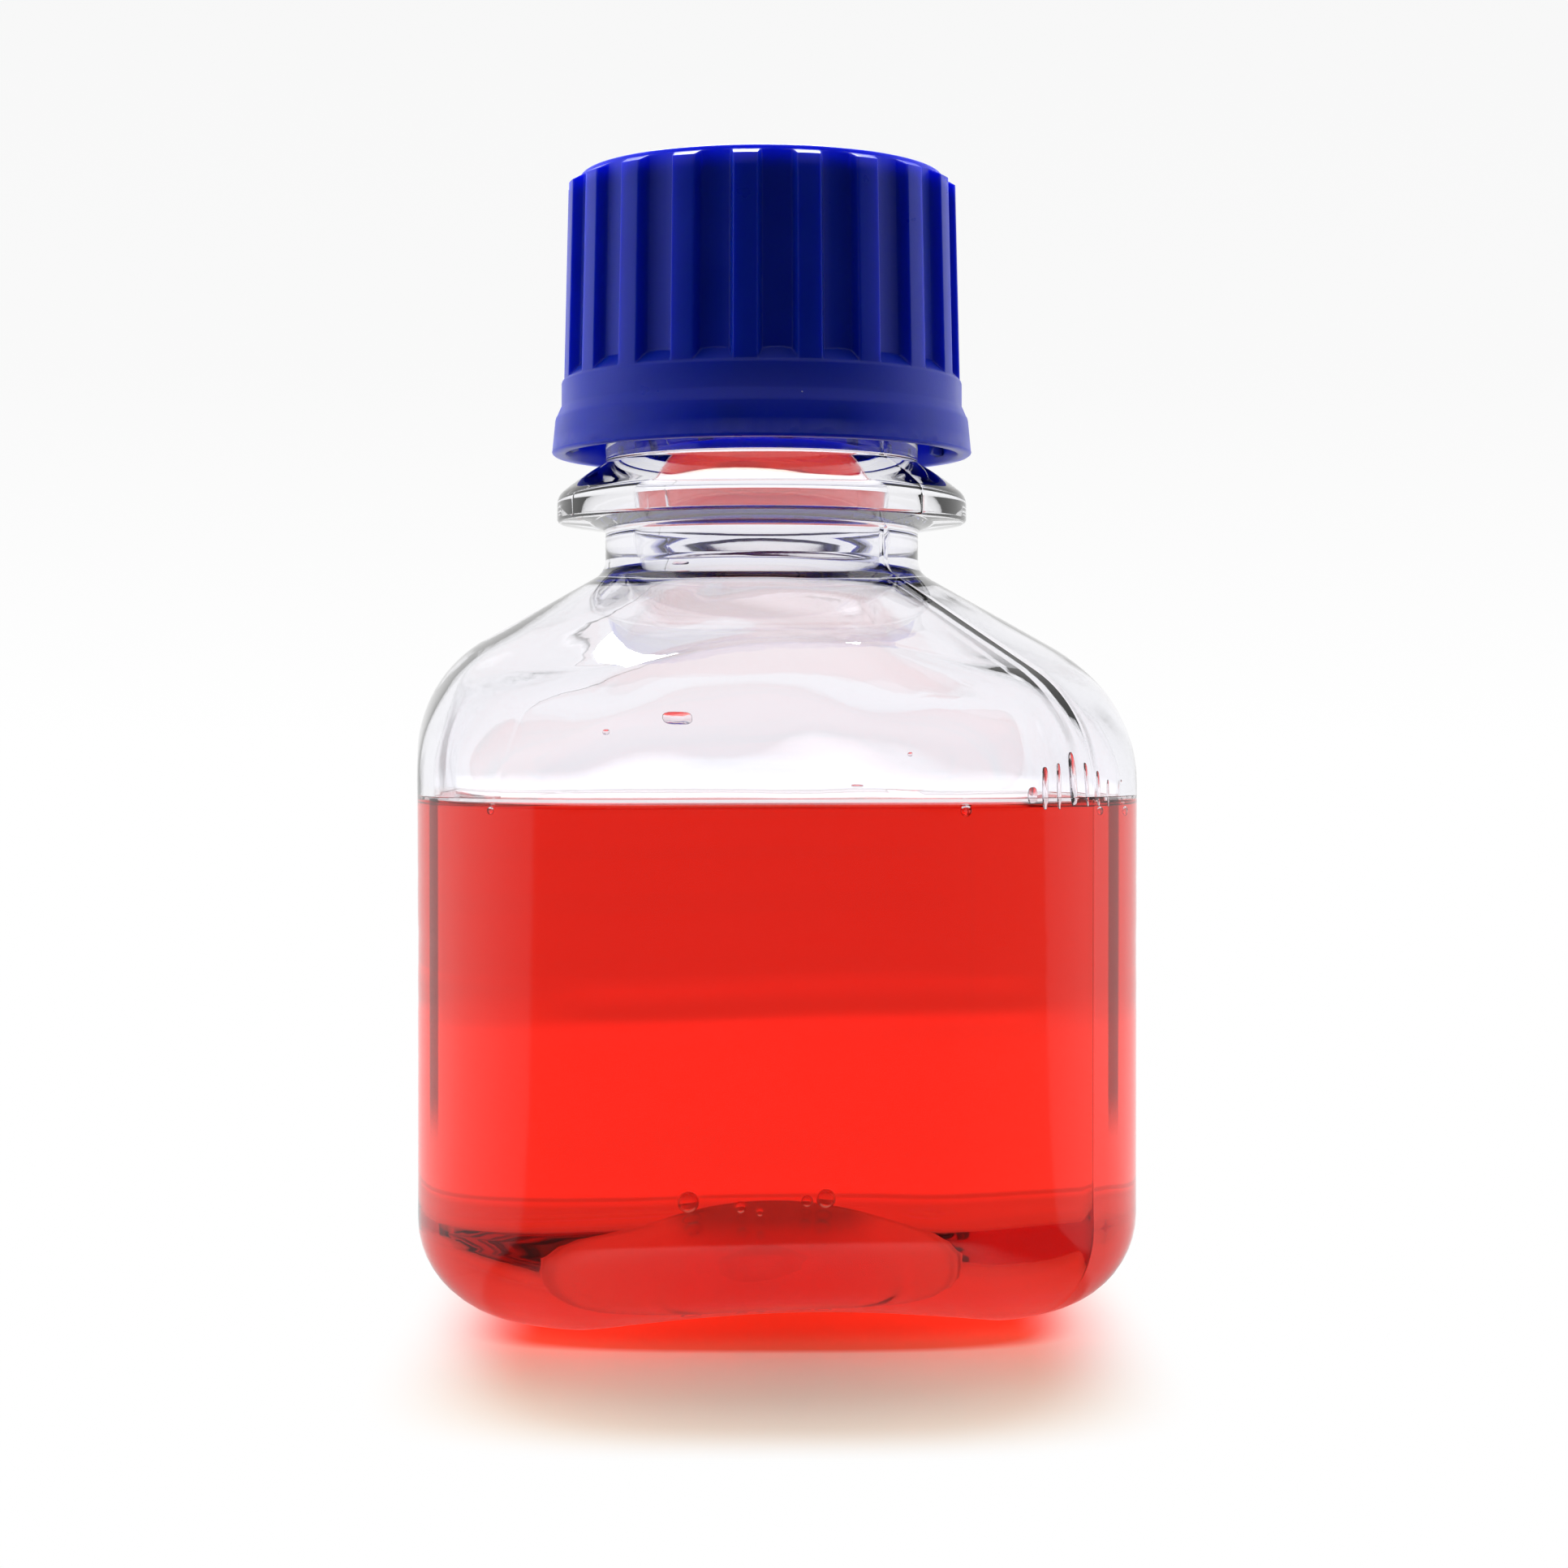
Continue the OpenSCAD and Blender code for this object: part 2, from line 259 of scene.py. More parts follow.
BODY_OUTLINE = outline(0)
BEARINGS = np.arctan2(BODY_OUTLINE[:, 1], BODY_OUTLINE[:, 0])
OUTWARD = np.stack([np.cos(BEARINGS), np.sin(BEARINGS)], axis=1)
SEAM_OFFSET = np.array([column[3] for column in COLUMNS])
SEAM_SHARE = np.array([column[4] for column in COLUMNS])
SEAM_MIN_R = 9 * MM


def circle(r):
    """Plan view of a round ring, with the seam's points as far apart as on the body."""
    on_body = SEAM_OFFSET / np.hypot(BODY_OUTLINE[:, 0], BODY_OUTLINE[:, 1])
    angles = BEARINGS - on_body + SEAM_OFFSET / max(r, SEAM_MIN_R)
    return r * np.stack([np.cos(angles), np.sin(angles)], axis=1)


def raised(plan, z):
    """A ring of points: a plan view at one height, or at one height for each point."""
    return np.column_stack([plan, np.broadcast_to(z, len(plan))])


# ------------------------------------------------------- bottle: side views

SHOULDER_TILT = math.pi / 2 - SHOULDER_SLOPE
CONE_FOOT_Z = (
    WALL_TOP_Z
    + SHOULDER_R * math.tan(SHOULDER_TILT / 2)
    + (HALF_W - NECK_R) * math.tan(SHOULDER_SLOPE)
)
NECK_Z = CONE_FOOT_Z + NECK_FILLET_R * math.tan(SHOULDER_TILT / 2)
SHOULDER_DROP = (np.hypot(*BODY_OUTLINE.T) - HALF_W) * math.tan(SHOULDER_SLOPE)
ARCH = FOOT_ARCH * np.maximum(0, (0.5 + 0.5 * np.cos(4 * BEARINGS) - ARCH_CUTOFF) / (1 - ARCH_CUTOFF))

DOME_STEPS = 14
FOOT_STEPS = 3
HEEL_STEPS = 12
WALL_STEPS = 56
SHOULDER_STEPS = 16
CONE_STEPS = 8
FILLET_STEPS = 8


def between(ring_a, ring_b, steps):
    """Rings strictly between two rings."""
    return [lerp(ring_a, ring_b, k / steps) for k in range(1, steps)]


def base_rings(e):
    """The dome, the foot and the heel, at depth e inside the outer surface."""
    rings = []
    for k in range(1, DOME_STEPS + 1):
        share = k / DOME_STEPS
        z = PUSH_UP_H * (1 - share**2) + e + ARCH * share**4
        rings.append(raised(circle(PUSH_UP_R * share), z))
    heel = []
    for k in range(HEEL_STEPS + 1):
        a = math.pi / 2 * k / HEEL_STEPS
        inset = HEEL_R - (HEEL_R - e) * math.sin(a)
        z = HEEL_R - (HEEL_R - e) * math.cos(a) + ARCH * (1 - math.sin(a))
        heel.append(raised(outline(inset), z))
    return rings + between(rings[-1], heel[0], FOOT_STEPS) + heel


def shoulder_ring(e, tilt):
    """A ring where the shoulder leans in by tilt from upright, at depth e."""
    plan = outline(e * math.cos(tilt)) - OUTWARD * SHOULDER_R * (1 - math.cos(tilt))
    return raised(plan, WALL_TOP_Z + (SHOULDER_R - e) * math.sin(tilt) - SHOULDER_DROP)


def fillet_ring(e, tilt):
    """The same for the curve into the neck."""
    r = NECK_R + NECK_FILLET_R * (1 - math.cos(tilt)) - e * math.cos(tilt)
    return raised(circle(r), NECK_Z - (NECK_FILLET_R + e) * math.sin(tilt))


def wall_rings(e):
    """The upright walls, the shoulder and the curve into the neck, at depth e."""
    low = raised(outline(e), HEEL_R)
    shoulder = [
        shoulder_ring(e, SHOULDER_TILT * k / SHOULDER_STEPS) for k in range(SHOULDER_STEPS + 1)
    ]
    neck_e = e if e == 0 else NECK_R - BORE_R
    fillet = [
        fillet_ring(lerp(e, neck_e, k / FILLET_STEPS), SHOULDER_TILT * (1 - k / FILLET_STEPS))
        for k in range(FILLET_STEPS + 1)
    ]
    wet_line = raised(outline(e), CONTACT_Z)
    walls = between(low, wet_line, WALL_STEPS) + [wet_line] + between(wet_line, shoulder[0], 4)
    return walls + shoulder + between(shoulder[-1], fillet[0], CONE_STEPS) + fillet


def thread_height(angle, z, start_angle, start_z, turns):
    """How far a screw ridge stands out of its wall at a place, from 0 to THREAD_DEPTH."""
    best = 0
    for lap in range(math.ceil(turns) + 2):
        along = (angle - start_angle) % (2 * math.pi) + 2 * math.pi * (lap - 1)
        sweep = 2 * math.pi * turns
        if not 0 <= along <= sweep:
            continue
        off = abs(z - (start_z + THREAD_PITCH * along / (2 * math.pi)))
        side = (THREAD_FOOT_W / 2 - off) / (THREAD_FOOT_W / 2 - THREAD_CREST_W / 2)
        share = smooth(0, 1, side)
        run_in = smooth(0, THREAD_RUN_IN, min(along, sweep - along))
        best = max(best, THREAD_DEPTH * share * run_in)
    return best


NECK_THREAD_Z = MOUTH_Z - THREAD_LEAD_IN - THREAD_PITCH * NECK_TURNS


def collar_profile():
    """Side view (r, z) of the collar, from the neck below it to the finish above it."""
    root_r = 0.5 * MM
    points = arc(NECK_R + root_r, COLLAR_Z - COLLAR_DROP - root_r, root_r, 180, 98, 5)
    points += arc(COLLAR_R - RIM_BEVEL, COLLAR_Z + RIM_BEVEL, RIM_BEVEL, -90, 0, 4)
    points += arc(
        COLLAR_R - COLLAR_EDGE_R, COLLAR_Z + COLLAR_RIM_H, COLLAR_EDGE_R, 0, 90 - COLLAR_LOW_SLOPE, 7
    )
    r, z = points[-1]
    run = (r - NECK_R - COLLAR_FILLET_R / 2) / COLLAR_DOME_STEPS
    for k in range(COLLAR_DOME_STEPS):
        share = (k + 0.5) / COLLAR_DOME_STEPS
        r -= run
        z += run * math.tan(math.radians(lerp(COLLAR_LOW_SLOPE, COLLAR_HIGH_SLOPE, share)))
        points.append((r, z))
    points.append((r - 0.7 * COLLAR_FILLET_R, z + 0.6 * COLLAR_FILLET_R))
    points.append((NECK_R, z + 1.4 * COLLAR_FILLET_R))
    points.append((NECK_R, FINISH_STEP_Z))
    points.append((FINISH_R, FINISH_STEP_Z + NECK_R - FINISH_R))
    return points


FINISH_STEPS = 84
BORE_STEPS = 24
MOUTH_BEVEL = 0.4 * MM


def finish_rings(foot_z):
    """The threaded wall above the collar, up to the mouth's bevel."""
    rings = []
    top_z = MOUTH_Z - MOUTH_BEVEL
    for k in range(1, FINISH_STEPS + 1):
        z = lerp(foot_z, top_z, k / FINISH_STEPS)
        plan = circle(FINISH_R)
        ridge = [
            thread_height(math.atan2(y, x), z, 0, NECK_THREAD_Z, NECK_TURNS) for x, y in plan
        ]
        rings.append(raised(plan * (1 + np.array(ridge) / FINISH_R)[:, None], z))
    return rings


def with_seam(rings):
    """The mould's parting line stands out of every ring."""
    result = []
    for ring in rings:
        height = lerp(SEAM_H, SEAM_NECK_H, smooth(WALL_TOP_Z, NECK_Z, ring[:, 2]))
        plan = ring[:, :2] + OUTWARD * (height * SEAM_SHARE)[:, None]
        result.append(np.column_stack([plan, ring[:, 2]]))
    return result


WAVE_DEPTH = 0.30 * MM  # on the shoulder
WALL_WAVE_DEPTH = 0.03 * MM  # on the upright walls
WAVE_SCALE, SMALL_WAVE_SCALE = 11 * MM, 5 * MM
PANEL_DEPTH, PANEL_SCALE = 0.05 * MM, 22 * MM
WOBBLE_H, WOBBLE_SCALE = 0.7 * MM, 30 * MM  # how far the shallow rings stray from level
# Heights, widths and depths of the shallow rings in the blown wall below the liquid's line.
RIPPLES = [(z * MM, w * MM, d * MM) for z, w, d in (
    (34.0, 0.5, 0.018), (29.4, 0.8, 0.05), (27.6, 0.8, 0.035), (24.5, 0.5, 0.03), (19.7, 0.8, 0.012),
)]


def waves(point, seed, scale):
    """Smooth noise at a place, about from -1 to 1."""
    return noise.noise(Vector((point[0] / scale, point[1] / scale, point[2] / scale + seed)))


def blown_inside(rings):
    """The inner surface of the blown wall: slightly uneven, drawn in where the wall is thicker."""
    result = []
    for ring in rings:
        depth = []
        for p in ring:
            fade = float(smooth(4 * MM, 9 * MM, p[2]) * (1 - smooth(NECK_Z - 4 * MM, NECK_Z, p[2])))
            upper = float(smooth(WALL_TOP_Z - 2 * MM, WALL_TOP_Z + 5 * MM, p[2]))
            uneven = waves(p, 3.7, WAVE_SCALE) + 0.5 * waves(p, 9.1, SMALL_WAVE_SCALE)
            depth.append(lerp(WALL_WAVE_DEPTH, WAVE_DEPTH, upper) * fade * (0.5 + uneven))
        plan = ring[:, :2] - OUTWARD * np.array(depth)[:, None]
        result.append(np.column_stack([plan, ring[:, 2]]))
    return result


def blown_outside(rings):
    """The outer surface of the blown wall, with its shallow ripples and slightly sunk panels."""
    result = []
    for ring in rings:
        depth = []
        for p in ring:
            below = 1 - smooth(WALL_TOP_Z - 6 * MM, WALL_TOP_Z, p[2])
            fade = float(smooth(6 * MM, 12 * MM, p[2]) * below)
            wobble = WOBBLE_H * waves(p, 5.2, WOBBLE_SCALE)
            ripple = sum(d * math.exp(-(((p[2] - z + wobble) / w) ** 2)) for z, w, d in RIPPLES)
            side = 1 - float(smooth(0.8, 1, abs(math.sin(2 * math.atan2(p[1], p[0])))))
            panel = PANEL_DEPTH * (0.5 + 0.5 * waves(p, 1.3, PANEL_SCALE))
            depth.append(fade * side * (ripple + panel))
        plan = ring[:, :2] - OUTWARD * np.array(depth)[:, None]
        result.append(np.column_stack([plan, ring[:, 2]]))
    return result


# Upright strips in the front corners, and the dome's top, where painted shade darkens the
# liquid. The strips' places are the bearings of the corner's curve from the front.
LEFT_STRIP_AT, RIGHT_STRIP_AT = math.radians(71.5), math.radians(53)
STRIP_W = math.radians(3.9)
STRIP_LOW_Z, STRIP_FULL_Z = 13.5 * MM, 18 * MM
PAINTED_SHADE_TONE = (0.33, 0.31, 0.31, 1)
DOME_TOP_R = 8.6 * MM
DOME_SHARE = 0.4


def painted_dome_shade(place):
    """How much painted shade darkens the liquid at a place, from 0 to 1, apart from the strips."""
    low = 1 - float(smooth(9 * MM, 10 * MM, place.z))
    dome = 1 - float(smooth(0.8 * DOME_TOP_R, DOME_TOP_R, math.hypot(place.x, place.y)))
    return DOME_SHARE * dome * low


def make_bottle(dry, wet):
    """One closed shell: up the outside, over the mouth and down the inside."""
    collar = collar_profile()
    outside = base_rings(0) + wall_rings(0)
    outside += [raised(circle(NECK_R), lerp(NECK_Z, collar[0][1], k / 4)) for k in range(1, 4)]
    outside += [raised(circle(r), z) for r, z in collar]
    heel_count = len(base_rings(0)) - HEEL_STEPS
    outside = outside[:heel_count] + with_seam(blown_outside(outside[heel_count:]))
    inner_bevel = MOUTH_BEVEL / 2
    lip = arc(FINISH_R - MOUTH_BEVEL, MOUTH_Z - MOUTH_BEVEL, MOUTH_BEVEL, 20, 90, 4)
    lip += arc(BORE_R + inner_bevel, MOUTH_Z - inner_bevel, inner_bevel, 90, 180, 3)
    mouth = [raised(circle(r), z) for r, z in lip]
    bore_top_z = MOUTH_Z - MOUTH_BEVEL
    bore = [raised(circle(BORE_R), lerp(bore_top_z, NECK_Z, k / BORE_STEPS)) for k in range(BORE_STEPS)]
    inside = blown_inside(base_rings(WALL_T) + wall_rings(WALL_T))
    rings = outside + finish_rings(collar[-1][1]) + mouth + bore + inside[::-1]
    vertices, faces = skin(rings, (0, 0, PUSH_UP_H), (0, 0, PUSH_UP_H + WALL_T))
    piece = new_object("bottle_shell", vertices, faces, dry)
    piece.data.materials.append(wet)
    inner_start = (len(rings) - len(inside)) * len(COLUMNS)
    for face in piece.data.polygons:
        if min(face.vertices) >= inner_start and face.center.z < CONTACT_Z:
            face.material_index = 1
    # Painted shade on the dome's top, kept on the shell's points.
    painted_shade = piece.data.attributes.new("painted_shade", "FLOAT", "POINT")
    for k, vertex in enumerate(piece.data.vertices):
        painted_shade.data[k].value = painted_dome_shade(vertex.co)
    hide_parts("bottle")
    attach(piece, "bottle_body")
    return piece


# -------------------------------------------------------------------- liquid

LIQUID_BITE = 0.04 * MM  # the liquid wets the wall, with no film of air between them
MENISCUS_W = 0.4 * MM  # over this the rise falls to a third
MENISCUS_STEPS = [0.08, 0.18, 0.3, 0.45, 0.65, 0.9, 1.2, 1.6, 2.1, 2.8, 3.8, 5.0]  # in its widths
GLASS_IOR = 1.57
LIQUID_IOR = 1.335


def liquid_wall_rings():
    """The liquid's surface on the bottle's inner wall, up to its edge."""
    e = WALL_T - LIQUID_BITE
    low = raised(outline(e), HEEL_R)
    high = raised(outline(e), CONTACT_Z)
    return base_rings(e) + between(low, high, WALL_STEPS) + [high]


def surface_rings():
    """The top of the liquid, from its edge on the wall towards the middle."""
    rings = []
    for width in MENISCUS_STEPS:
        plan = outline(WALL_T - LIQUID_BITE + width * MENISCUS_W)
        rings.append(raised(plan, LEVEL_Z + MENISCUS_H * math.exp(-width)))
    inner = rings[-1][:, :2]
    return rings + [raised(inner * share, LEVEL_Z) for share in (0.9, 0.75, 0.6, 0.4, 0.2)]


def make_liquid(material):
    walls = blown_inside(liquid_wall_rings())
    rings = walls + surface_rings()
    e = WALL_T - LIQUID_BITE
    vertices, faces = skin(rings, (0, 0, PUSH_UP_H + e), (0, 0, LEVEL_Z))
    piece = new_object("red_liquid", vertices, faces, material)
    wall_points = len(walls) * len(COLUMNS)
    middle = len(vertices) - 1
    on_wall = piece.data.attributes.new("on_wall", "FLOAT", "FACE")
    for face in piece.data.polygons:
        on_top = [v for v in face.vertices if wall_points <= v < middle - 1 or v == middle]
        on_wall.data[face.index].value = 0 if on_top else 1
    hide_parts("liquid")
    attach(piece, "bottle_body")


# ----------------------------------------------------------- drops and bubbles

# Drops on the inner wall: where the photograph shows each (in its pixels), its width
# and height, and its thickness, in millimetres.
DROPS = [
    (1283, 972, 0.55, 3.2, 0.09), (1299, 969, 0.4, 3.4, 0.07), (1315, 962, 0.75, 3.9, 0.1),
    (1331, 967, 0.4, 3.2, 0.07), (1343, 973, 0.45, 2.6, 0.08), (1354, 978, 0.35, 2.0, 0.06),
    (1268, 980, 0.8, 1.2, 0.05), (835, 888, 2.2, 1.0, 0.04), (845, 702, 1.5, 0.45, 0.08),
    (845, 718, 1.3, 0.4, 0.07), (1368, 974, 0.3, 1.5, 0.07), (748, 905, 0.5, 0.4, 0.05),
    (1120, 930, 0.35, 0.3, 0.05), (1055, 968, 0.9, 0.18, 0.04),
]
# Bubbles on the dome: how far right and towards the camera of the axis, and radius.
BUBBLES = [(-6.8, 0.0, 0.9), (4.4, 1.0, 0.8), (2.9, 1.6, 0.5), (-2.4, 4.0, 0.5), (-0.8, 5.2, 0.35)]
EDGE_BUBBLES = [(1190, 0.45), (1348, 0.35), (1374, 0.4), (608, 0.3)]  # at the liquid's line
EDGE_BUBBLE_Y = 999  # the liquid's line in the photograph
DROP_GAP = 0.01 * MM
DROP_RINGS, DROP_SIDES = 6, 18
DROP_UNEVEN = 0.12
DROP_BLUNT = 0.65
BUBBLE_RINGS, BUBBLE_SIDES = 8, 16


def inner_wall(tree, px, py):
    """The place on the bottle's inner wall behind a pixel, and the wall's direction there."""
    origin, direction = Vector(CAMERA_PLACE), photo_ray(px, py)
    for _ in range(2):
        place, normal, _, _ = tree.ray_cast(origin, direction)
        origin = place + direction * 0.01 * MM
    return place, normal


def blunt(x):
    """Turns a circle's coordinate into a rounded box's."""
    return math.copysign(abs(x) ** DROP_BLUNT, x)


def drop_lump(place, normal, width, height, thickness):
    """Vertices and faces of a drop that lies on a wall."""
    up = (Vector((0, 0, 1)) - normal * normal.z).normalized()
    side = up.cross(normal)
    base = place + normal * DROP_GAP
    rings = []
    for k in range(DROP_RINGS):
        lift = math.pi / 2 * k / DROP_RINGS
        ring = []
        for i in range(DROP_SIDES):
            a = 2 * math.pi * i / DROP_SIDES
            edge = 1 + DROP_UNEVEN * noise.noise(Vector((math.cos(a), math.sin(a), place.x * 900)))
            share = edge * math.cos(lift) / 2
            x, y = blunt(math.cos(a)), blunt(math.sin(a))
            place_on_wall = base + side * width * share * x + up * height * share * y
            ring.append(place_on_wall + normal * thickness * math.sin(lift))
        rings.append(ring)
    return skin(rings, base, base + normal * thickness)


def bubble_lump(centre, r):
    """Vertices and faces of a round bubble."""
    rings = []
    for k in range(1, BUBBLE_RINGS):
        a = math.pi * k / BUBBLE_RINGS - math.pi / 2
        ring_r, z = r * math.cos(a), r * math.sin(a)
        turns = [2 * math.pi * i / BUBBLE_SIDES for i in range(BUBBLE_SIDES)]
        rings.append([centre + Vector((ring_r * math.cos(b), ring_r * math.sin(b), z)) for b in turns])
    return skin(rings, centre - Vector((0, 0, r)), centre + Vector((0, 0, r)))


def joined(name, lumps, material):
    """One piece, which rides with the bottle, from several lumps."""
    vertices, faces = [], []
    for more, more_faces in lumps:
        start = len(vertices)
        vertices += more
        faces += [tuple(start + i for i in face) for face in more_faces]
    piece = new_object(name, vertices, faces, material)
    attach(piece, "bottle_body")


def make_drops(bottle, drop_stuff, bubble_stuff):
    """Drops on the inner wall over the liquid, and air bubbles in it."""
    mesh = bottle.data
    tree = BVHTree.FromPolygons([v.co for v in mesh.vertices], [tuple(f.vertices) for f in mesh.polygons])
    lumps = []
    for px, py, width, height, thickness in DROPS:
        place, normal = inner_wall(tree, px, py)
        lumps.append(drop_lump(place, normal, width * MM, height * MM, thickness * MM))
    joined("wall_drops", lumps, drop_stuff)
    lumps = []
    for right, near, r in BUBBLES:
        x = (right * math.cos(YAW) - near * math.sin(YAW)) * MM
        y = (-right * math.sin(YAW) - near * math.cos(YAW)) * MM
        share = math.hypot(x, y) / PUSH_UP_R
        z = PUSH_UP_H * (1 - share**2) + WALL_T
        lumps.append(bubble_lump(Vector((x, y, z + r * MM)), r * MM))
    for px, r in EDGE_BUBBLES:
        place, normal = inner_wall(tree, px, EDGE_BUBBLE_Y)
        lumps.append(bubble_lump(place + normal * (r + 0.1) * MM, r * MM))
    joined("air_bubbles", lumps, bubble_stuff)


# ----------------------------------------------------------------------- cap

# Distances from a rib's middle at which the cap has a column of points, as far
# as the middle of the flute.
RIB_PITCH = 2 * math.pi * RIB_TOP_R / RIB_COUNT
RIB_STATIONS = [x * MM for x in (
    0, 0.35, 0.65, 0.82, 0.9, 0.96, 1.01, 1.06, 1.12, 1.2, 1.3, 1.42, 1.6, 1.85, 2.15,
)]
RIB_FLAT = 0.88 * MM
RIB_SIDE = 1.32 * MM
FLUTE_ROUND = 2.2 * MM
FLUTE_ROUND_SHARE = 0.16


def cap_angles():
    """Bearings of the cap's columns and each one's distance from its rib's middle."""
    offsets = [-x for x in RIB_STATIONS[:0:-1]] + RIB_STATIONS + [RIB_PITCH / 2]
    angles, distance = [], []
    for k in range(RIB_COUNT):
        for offset in offsets:
            angles.append(RIB_TURN + 2 * math.pi * (k + offset / RIB_PITCH) / RIB_COUNT)
            distance.append(abs(offset))
    return np.array(angles), np.array(distance)


CAP_ANGLES, RIB_DISTANCE = cap_angles()
RIB_SHARE = (1 - FLUTE_ROUND_SHARE) * (1 - smooth(RIB_FLAT, RIB_SIDE, RIB_DISTANCE)) + (
    FLUTE_ROUND_SHARE * (1 - smooth(RIB_FLAT, FLUTE_ROUND, RIB_DISTANCE))
)


def cap_ring(r, z):
    r = np.broadcast_to(r, len(CAP_ANGLES))
    return np.column_stack([
        r * np.cos(CAP_ANGLES), r * np.sin(CAP_ANGLES), np.broadcast_to(z, len(CAP_ANGLES)),
    ])


def ribbed_radius(z):
    """Outer radius of the cap at a height above the ribs' feet, one for each column."""
    rib_r = lerp(RIB_FOOT_R, RIB_TOP_R, (z - RIB_FOOT_Z) / (CAP_TOP_Z - RIB_FOOT_Z))
    fluted = rib_r - FLUTE_DEPTH * (1 - RIB_SHARE)
    ledge = RIB_FOOT_R - (z - RIB_FOOT_Z)
    return np.maximum(fluted, ledge)


FLASH_H = 0.05 * MM
FLASH_WAVES = 14
RING_BEVEL = 0.22 * MM
# Heights over the ribs' feet, in millimetres, at which the ledge between them has a ring of points.
FOOT_STATIONS = (0.1, 0.3, 0.5, 0.7, 0.8, 0.86, 0.92, 0.98, 1.04, 1.12, 1.25)


def cap_outside():
    """The outer surface, from the ring's lower edge up to the middle of the top."""
    flash = np.array([
        FLASH_H * noise.noise(Vector((math.cos(a) * FLASH_WAVES, math.sin(a) * FLASH_WAVES, 0.5)))
        for a in CAP_ANGLES
    ])
    rings = [
        cap_ring(RING_R - RING_BEVEL, CAP_Z),
        cap_ring(RING_R - RING_BEVEL * 0.35, CAP_Z + RING_BEVEL * 0.35 + np.abs(flash)),
        cap_ring(RING_R, CAP_Z + RING_BEVEL + np.abs(flash)),
    ]
    for share in (0.08, 0.5, 0.92):
        rings.append(cap_ring(lerp(RING_R, RING_R - RING_DRAFT, share), lerp(CAP_Z, RING_TOP_Z, share)))
    edge = 0.12 * MM
    ring_top_r = RING_R - RING_DRAFT
    rings += [
        cap_ring(ring_top_r - edge * 0.3, RING_TOP_Z),
        cap_ring(ring_top_r - edge, RING_TOP_Z + edge),
        cap_ring(BAND_R + edge, RING_TOP_Z + RING_SLOPE_H - edge),
        cap_ring(BAND_R, RING_TOP_Z + RING_SLOPE_H + edge),
        cap_ring(BAND_R, RIB_FOOT_Z - 2.4 * edge),
        cap_ring(BAND_R - edge * 0.4, RIB_FOOT_Z - edge),
        cap_ring(RIB_FOOT_R, RIB_FOOT_Z),
    ]
    foot_heights = [RIB_FOOT_Z + x * MM for x in FOOT_STATIONS]
    rings += [cap_ring(ribbed_radius(z), z) for z in foot_heights]
    rim_z = CAP_TOP_Z - RIM_H
    slope_z = rim_z - RIB_SLOPE_H
    rings += [cap_ring(ribbed_radius(z), z) for z in np.linspace(foot_heights[-1], slope_z, 16)[1:]]
    for share in (0.1, 0.35, 0.65, 0.9, 1):
        z = lerp(slope_z, rim_z, share)
        rings.append(cap_ring(np.minimum(ribbed_radius(z), lerp(RIB_TOP_R, RIM_R, share)), z))
    for z in (rim_z + 0.02 * MM, CAP_TOP_Z - RIM_ROUND):
        rings.append(cap_ring(np.minimum(ribbed_radius(z), RIM_R), z))
    return rings + [cap_ring(r, CAP_TOP_Z) for r in (RIM_R - RIM_ROUND, 13 * MM, 9 * MM, 4 * MM, 1 * MM)]


CAP_THREAD_ANGLE = -math.pi / 2
CAP_THREAD_Z = NECK_THREAD_Z + THREAD_PITCH * (CAP_THREAD_ANGLE / (2 * math.pi) - 0.5)
SKIRT_SLOPE_H = 2.2 * MM


def cap_inside():
    """The inner surface, from the middle of the ceiling down to the ring's lower edge."""
    ceiling_z = CAP_TOP_Z - TOP_T
    wall_low_z = RING_TOP_Z + SKIRT_SLOPE_H
    inner_r = RING_R - RING_T
    rings = [cap_ring(r * MM, ceiling_z) for r in (1, 6, 11)]
    rings.append(cap_ring(THREAD_WALL_R - 0.2 * MM, ceiling_z))
    for z in np.linspace(ceiling_z - 0.2 * MM, wall_low_z, 52):
        ridge = np.array([
            thread_height(a, z, CAP_THREAD_ANGLE, CAP_THREAD_Z, CAP_TURNS) for a in CAP_ANGLES
        ])
        rings.append(cap_ring(THREAD_WALL_R - ridge, z))
    rings += [cap_ring(lerp(THREAD_WALL_R, inner_r, t), lerp(wall_low_z, RING_TOP_Z, t)) for t in (0.5, 1)]
    return rings + [cap_ring(inner_r, lerp(RING_TOP_Z, CAP_Z, t)) for t in (0.5, 0.94)] + [
        cap_ring(inner_r + 0.12 * MM, CAP_Z)]


def lug_box(centre_angle):
    """Vertices and faces of one small lug on the ring's inner wall, with sloped ends."""
    inner_r = RING_R - RING_T
    half, low, high = 0.8 * MM, CAP_Z + 0.6 * MM, CAP_Z + 2.4 * MM
    depth, embed, slope = 0.6 * MM, 0.3 * MM, 0.2 * MM
    profile = [
        (inner_r + embed, low), (inner_r, low), (inner_r - depth, low + slope),
        (inner_r - depth, high - 3 * slope), (inner_r, high), (inner_r + embed, high),
    ]
    vertices = []
    for side in (-1, 1):
        for r, z in profile:
            width = side * (half - (slope / 2 if r < inner_r else 0))
            a = centre_angle + width / inner_r
            vertices.append((r * math.cos(a), r * math.sin(a), z))
    n = len(profile)
    faces = [(i, (i + 1) % n, n + (i + 1) % n, n + i) for i in range(n)]
    faces += [tuple(range(n - 1, -1, -1)), tuple(range(n, 2 * n))]
    return vertices, faces


